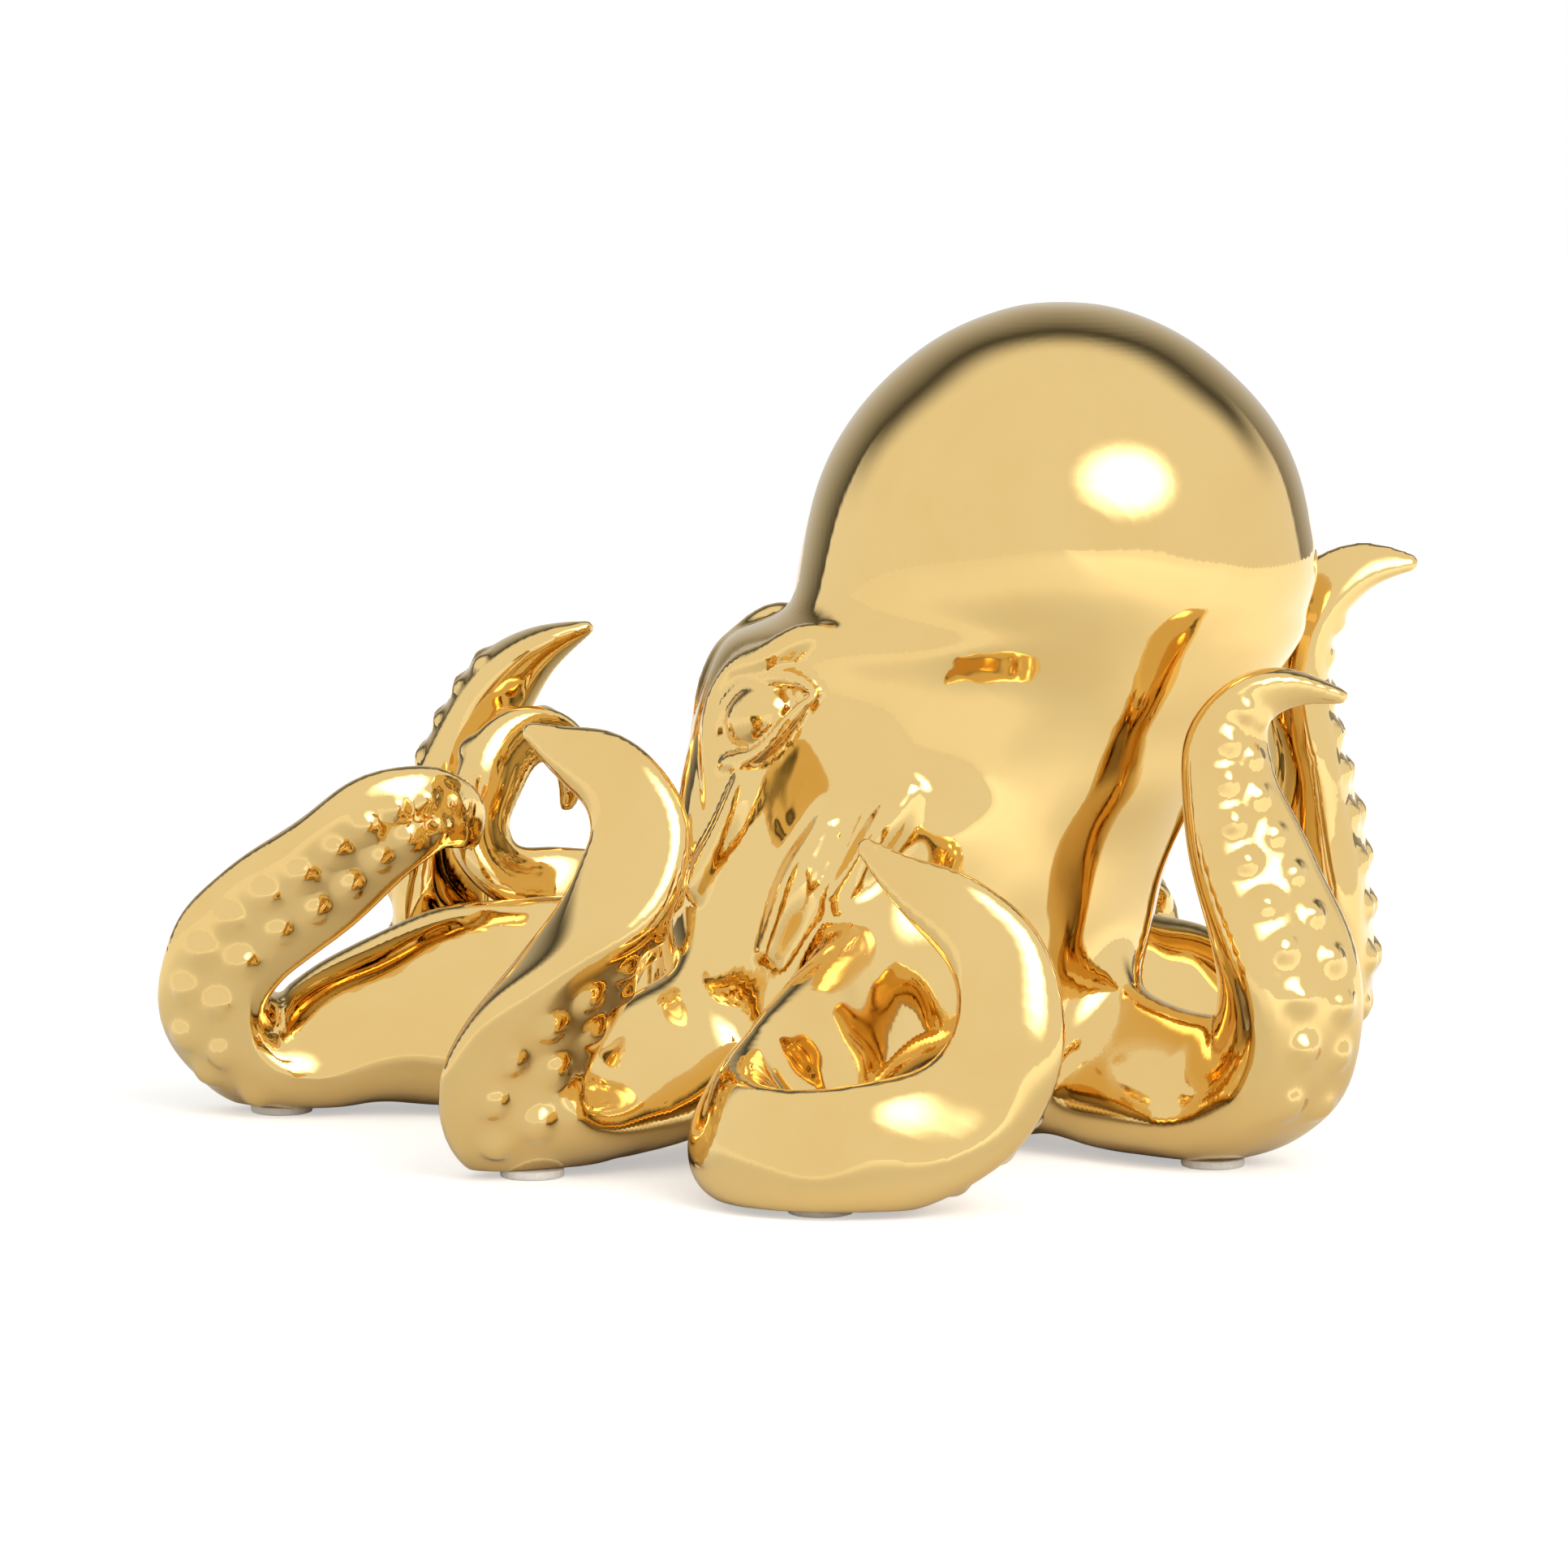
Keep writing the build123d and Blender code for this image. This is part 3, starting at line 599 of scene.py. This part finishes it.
def glaze_group():
    """Shared effect: orange-peel and pinhole height, and a soft mask of handling marks."""
    group = bpy.data.node_groups.new("glaze_surface", "ShaderNodeTree")
    for name in ("Peel Scale", "Mark Scale"):
        group.interface.new_socket(name, in_out="INPUT", socket_type="NodeSocketFloat")
    for name in ("Height", "Marks"):
        group.interface.new_socket(name, in_out="OUTPUT", socket_type="NodeSocketFloat")
    entry, leave = group.nodes.new("NodeGroupInput"), group.nodes.new("NodeGroupOutput")
    place = group.nodes.new("ShaderNodeTexCoord")
    peel = node(group, "ShaderNodeTexNoise", Detail=2.0, Roughness=0.4)
    marks = node(group, "ShaderNodeTexNoise", Detail=5.0, Roughness=0.6, Distortion=0.4)
    pits = node(group, "ShaderNodeTexVoronoi", Scale=160.0)
    pit = node(group, "ShaderNodeMapRange", clamp=True)
    spread = node(group, "ShaderNodeMapRange", clamp=True)
    height = node(group, "ShaderNodeMath", operation="MULTIPLY_ADD")
    link = group.links.new
    for texture in (peel, marks, pits):
        link(place.outputs["Object"], texture.inputs["Vector"])
    link(entry.outputs["Peel Scale"], peel.inputs["Scale"])
    link(entry.outputs["Mark Scale"], marks.inputs["Scale"])
    link(pits.outputs["Distance"], pit.inputs["Value"])
    for index, value in ((1, 0.0), (2, 0.05), (3, 0.0), (4, 0.35)):
        pit.inputs[index].default_value = value
    link(peel.outputs["Fac"], height.inputs[0])
    height.inputs[1].default_value = 1.0
    link(pit.outputs["Result"], height.inputs[2])
    link(marks.outputs["Fac"], spread.inputs["Value"])
    for index, value in ((1, 0.42), (2, 0.72), (3, 0.0), (4, 1.0)):
        spread.inputs[index].default_value = value
    link(height.outputs["Value"], leave.inputs["Height"])
    link(spread.outputs["Result"], leave.inputs["Marks"])
    return group


def gold_glaze():
    """Mirror gold over glaze, with faint peel, a few pinholes and duller handled patches."""
    material = bpy.data.materials.new("gold_glaze")
    material.use_nodes = True
    tree = material.node_tree
    shader = tree.nodes["Principled BSDF"]
    surface = tree.nodes.new("ShaderNodeGroup")
    surface.node_tree = glaze_group()
    surface.inputs["Peel Scale"].default_value = 55.0
    surface.inputs["Mark Scale"].default_value = 18.0
    tone = node(tree, "ShaderNodeMix", data_type="RGBA")
    tone.inputs[6].default_value = (0.83, 0.595, 0.245, 1)
    tone.inputs[7].default_value = (0.80, 0.555, 0.215, 1)
    shine = node(tree, "ShaderNodeMapRange")
    for index, value in ((1, 0.0), (2, 1.0), (3, 0.035), (4, 0.075)):
        shine.inputs[index].default_value = value
    bump = node(tree, "ShaderNodeBump", Strength=0.12, Distance=0.0004)
    link = tree.links.new
    link(surface.outputs["Marks"], tone.inputs[0])
    link(surface.outputs["Marks"], shine.inputs["Value"])
    link(surface.outputs["Height"], bump.inputs["Height"])
    link(tone.outputs[2], shader.inputs["Base Color"])
    link(shine.outputs["Result"], shader.inputs["Roughness"])
    link(bump.outputs["Normal"], shader.inputs["Normal"])
    shader.inputs["Metallic"].default_value = 1.0
    return material


def white_felt():
    """Pressed white felt: short fibres as fine warped noise, with painted shade greying the gaps
    between the fibres.
    """
    material = bpy.data.materials.new("white_felt")
    material.use_nodes = True
    tree = material.node_tree
    shader = tree.nodes["Principled BSDF"]
    place = tree.nodes.new("ShaderNodeTexCoord")
    fibres = node(tree, "ShaderNodeTexNoise", Scale=1400.0, Detail=4.0, Distortion=1.2)
    # Painted shade: the fibre noise that raises the bump also sets the colour, so the low gaps between
    # fibres are greyer.
    tone = node(tree, "ShaderNodeMix", data_type="RGBA")
    tone.inputs[6].default_value = (0.62, 0.60, 0.57, 1)
    tone.inputs[7].default_value = (0.86, 0.85, 0.82, 1)
    bump = node(tree, "ShaderNodeBump", Strength=0.6, Distance=0.0004)
    link = tree.links.new
    link(place.outputs["Object"], fibres.inputs["Vector"])
    link(fibres.outputs["Fac"], tone.inputs[0])
    link(fibres.outputs["Fac"], bump.inputs["Height"])
    link(tone.outputs[2], shader.inputs["Base Color"])
    link(bump.outputs["Normal"], shader.inputs["Normal"])
    shader.inputs["Roughness"].default_value = 0.95
    shader.inputs["Sheen Weight"].default_value = 0.3
    return material


def felt_pad(name, centre, material):
    """Felt dot: a disc whose rim bows out a little and whose edge is slightly uneven."""
    around = np.linspace(0, 2 * np.pi, 96, endpoint=False)
    profile = np.array((
        (0.90, 0.0), (0.975, 0.08), (1.0, 0.35), (1.0, 0.65), (0.985, 0.93), (0.92, 1.0),
    ))
    uneven = 1 - 0.012 * (1 + np.sin(7 * around + centre[0]) * np.sin(13 * around + centre[1]))
    radius = profile[:, :1] * uneven * PAD_DIAMETER / 2
    rings = np.stack([
        centre[0] + radius * np.cos(around), centre[1] + radius * np.sin(around),
        profile[:, 1:] * PAD_THICKNESS + 0 * around,
    ], -1)
    points, triangles = capped_tube(rings)
    piece = new_piece(name + "_felt", points, triangles, None, material)
    piece.data.polygons.foreach_set("use_smooth", np.zeros(len(triangles), bool))
    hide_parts(name)


gold = gold_glaze()
felt = white_felt()

# The casting: body and arm roots melt together, the free arms and suckers are laid over them.
body_field = distance(body_surface(), FAR_REACH)
roots = arms = nearest = None
arm_names = [name for name in ARM_SHARES if name != "arm_raised_left"]
suckers = []
for number, name in enumerate(arm_names):
    rows = arm_rows(ARM_SHARES[name])
    root = distance(arm_surface(rows[: LAST_ROOT_ROW[name] + 1]), FAR_REACH)
    whole = distance(arm_surface(rows), FAR_REACH)
    if arms is None:
        roots, arms, nearest = root, whole, np.zeros(FIELD_SHAPE, np.int8)
    else:
        roots = melted(roots, root, ROOT_MELT)
        nearest = np.where(whole < arms, number, nearest).astype(np.int8)
        arms = np.minimum(arms, whole)
    suckers += sucker_places(rows, FIRST_SUCKER_ROW[name])
carved = carved_face(melted(body_field, roots, BODY_MELT))
figure = melted(carved, arms, ARM_MELT)
add_suckers(figure, suckers)
hand_modelled(figure)
heights = ((np.arange(FIELD_SHAPE[2]) + FIELD_LOW[2]) * GRAIN).astype(np.float32)
figure = np.maximum(figure, PAD_THICKNESS - heights)
nearest = np.where(body_field < arms + 3, -1, nearest)
points, triangles, normals = skin(figure)
region = read_field(nearest, points[triangles].mean(1))
for number, name in [(-1, "body_shell")] + list(enumerate(arm_names)):
    part = closed_part(points, triangles, normals, region == number, INNER_POINT)
    piece = new_piece(name + "_glazed", *part, gold)
    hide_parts(name)

# The raised arm lies over its neighbours, so it is a closed piece of its own.
rows = arm_rows(ARM_SHARES["arm_raised_left"])
raised = distance(arm_surface(rows), NEAR_REACH)
add_suckers(raised, sucker_places(rows, FIRST_SUCKER_ROW["arm_raised_left"]))
hand_modelled(raised)
points, triangles, normals = skin(raised)
piece = new_piece("arm_raised_left_glazed", points, triangles, normals[triangles], gold)
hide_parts("arm_raised_left")

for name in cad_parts:
    if name.startswith("felt_pad"):
        low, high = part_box(name)
        centre = [(low[axis] + high[axis]) / 2 * MM_PER_METRE for axis in (0, 1)]
        felt_pad(name, centre, felt)


# Stage: a pale table top and a white tent that is open behind the figure.
def ramp(tree, value, low, high, smooth=True):
    """Node that rises from 0 at a low value to 1 at a high one."""
    rise = node(tree, "ShaderNodeMapRange", clamp=True)
    rise.interpolation_type = "SMOOTHSTEP" if smooth else "LINEAR"
    for index, limit in ((1, low), (2, high), (3, 0.0), (4, 1.0)):
        rise.inputs[index].default_value = limit
    tree.links.new(value, rise.inputs["Value"])
    return rise.outputs["Result"]


def figures(tree, operation, *values):
    """Node that works out a sum, product or the like of links and numbers."""
    worked = node(tree, "ShaderNodeMath", operation=operation)
    for index, value in enumerate(values):
        if isinstance(value, (int, float)):
            worked.inputs[index].default_value = value
        else:
            tree.links.new(value, worked.inputs[index])
    return worked.outputs["Value"]


def floor_material():
    """Pale matt top, white to the camera, and brighter in the glaze far out and on the right."""
    material = bpy.data.materials.new("pale_floor")
    material.use_nodes = True
    tree = material.node_tree
    tree.nodes.remove(tree.nodes["Principled BSDF"])
    place = tree.nodes.new("ShaderNodeTexCoord")
    split = tree.nodes.new("ShaderNodeSeparateXYZ")
    tree.links.new(place.outputs["Object"], split.inputs["Vector"])
    matt = node(tree, "ShaderNodeBsdfDiffuse", Color=(0.74, 0.74, 0.73, 1))
    glow = node(tree, "ShaderNodeEmission", Color=(1, 1, 1, 1))
    path = tree.nodes.new("ShaderNodeLightPath")
    both = tree.nodes.new("ShaderNodeAddShader")
    far = node(tree, "ShaderNodeVectorMath", operation="LENGTH")
    tree.links.new(place.outputs["Object"], far.inputs[0])
    right = ramp(tree, split.outputs["X"], 0.10, 0.30)
    out = figures(tree, "MULTIPLY", ramp(tree, far.outputs["Value"], 0.16, 0.42), 0.26)
    bright = figures(tree, "ADD", out, figures(tree, "MULTIPLY", right, 0.25))
    seen = figures(tree, "MULTIPLY", path.outputs["Is Camera Ray"], 0.45)
    mirrored = figures(tree, "MULTIPLY", path.outputs["Is Glossy Ray"], bright)
    link = tree.links.new
    link(figures(tree, "ADD", seen, mirrored), glow.inputs["Strength"])
    link(glow.outputs["Emission"], both.inputs[0])
    link(matt.outputs["BSDF"], both.inputs[1])
    link(both.outputs["Shader"], tree.nodes["Material Output"].inputs["Surface"])
    return material


floor_mesh = bpy.data.meshes.new("floor")
floor_corners = [(x * FLOOR_HALF, y * FLOOR_HALF, 0) for x, y in ((-1, -1), (1, -1), (1, 1), (-1, 1))]
floor_mesh.from_pydata(floor_corners, [], [(0, 1, 2, 3)])
floor_mesh.materials.append(floor_material())
floor = bpy.data.objects.new("floor", floor_mesh)
bpy.context.scene.collection.objects.link(floor)


def tent_world():
    """White tent: bright all round the front and top, dark past the sides, white far behind.

    With x to the right, y away and z up in a direction, the dark starts at y 0.3 overhead, 0.57
    on the left and 0.7 on the right, and fades again to the white backdrop at y 1. A soft lamp
    shows at the upper right.
    """
    world = bpy.data.worlds.new("studio")
    world.use_nodes = True
    tree = world.node_tree
    link = tree.links.new
    place = tree.nodes.new("ShaderNodeTexCoord")
    split = tree.nodes.new("ShaderNodeSeparateXYZ")
    link(place.outputs["Generated"], split.inputs["Vector"])
    x, y, z = (split.outputs[name] for name in "XYZ")
    overhead = ramp(tree, z, 0.15, 0.55)
    later_on_right = figures(tree, "MULTIPLY", ramp(tree, x, -0.2, 0.3), 0.12)
    shifted = figures(tree, "SUBTRACT", y, later_on_right)
    dark_top = figures(tree, "MULTIPLY", ramp(tree, y, 0.28, 0.60), overhead)
    beside = figures(tree, "SUBTRACT", 1.0, overhead)
    dark_side = figures(tree, "MULTIPLY", ramp(tree, shifted, 0.56, 0.60), beside)
    dark = figures(tree, "ADD", dark_top, dark_side)
    behind = ramp(tree, y, 0.60, 1.02, False)
    room = figures(tree, "ADD", 0.09, figures(tree, "MULTIPLY", behind, 0.62))
    cloth = figures(tree, "MULTIPLY", figures(tree, "SUBTRACT", 1.0, dark), 0.97)
    level = figures(tree, "ADD", cloth, figures(tree, "MULTIPLY", room, dark))
    towards = node(tree, "ShaderNodeVectorMath", operation="DOT_PRODUCT")
    towards.inputs[1].default_value = LAMP_SEEN_TOWARDS
    link(place.outputs["Generated"], towards.inputs[0])
    spot = ramp(tree, towards.outputs["Value"], 0.88, 0.995)
    lamp = figures(tree, "MULTIPLY", figures(tree, "MULTIPLY", spot, spot), 4.0)
    studio = tree.nodes["Background"]
    studio.inputs["Color"].default_value = (1.0, 0.995, 0.98, 1)
    link(figures(tree, "ADD", level, lamp), studio.inputs["Strength"])
    shown = node(tree, "ShaderNodeBackground", Color=(1, 1, 1, 1), Strength=1.0)
    path = tree.nodes.new("ShaderNodeLightPath")
    chosen = tree.nodes.new("ShaderNodeMixShader")
    link(path.outputs["Is Camera Ray"], chosen.inputs["Fac"])
    link(studio.outputs["Background"], chosen.inputs[1])
    link(shown.outputs["Background"], chosen.inputs[2])
    link(chosen.outputs["Shader"], tree.nodes["World Output"].inputs["Surface"])
    return world


bpy.context.scene.world = tent_world()

key = bpy.data.lights.new("soft_key", "AREA")
key.shape = "DISK"
key.size = 0.7
key.energy = 5.0
key_object = bpy.data.objects.new("soft_key", key)
bpy.context.scene.collection.objects.link(key_object)
key_object.location = LAMP_PLACE
key_object.rotation_mode = "QUATERNION"
key_object.rotation_quaternion = key_object.location.to_track_quat("Z", "Y")
key_object.visible_glossy = False

camera = bpy.data.cameras.new("camera")
camera.sensor_width = SENSOR_WIDTH
camera.lens = SENSOR_WIDTH * FOCAL_PIXELS / PHOTO_PIXELS
camera.clip_start = 0.1
camera.clip_end = 20
view = bpy.data.objects.new("camera", camera)
bpy.context.scene.collection.objects.link(view)
view.location = CAMERA_PLACE
view.rotation_euler = (np.radians(90 - CAMERA_PITCH), 0, 0)
bpy.context.scene.camera = view
bpy.context.scene.view_settings.view_transform = "Standard"
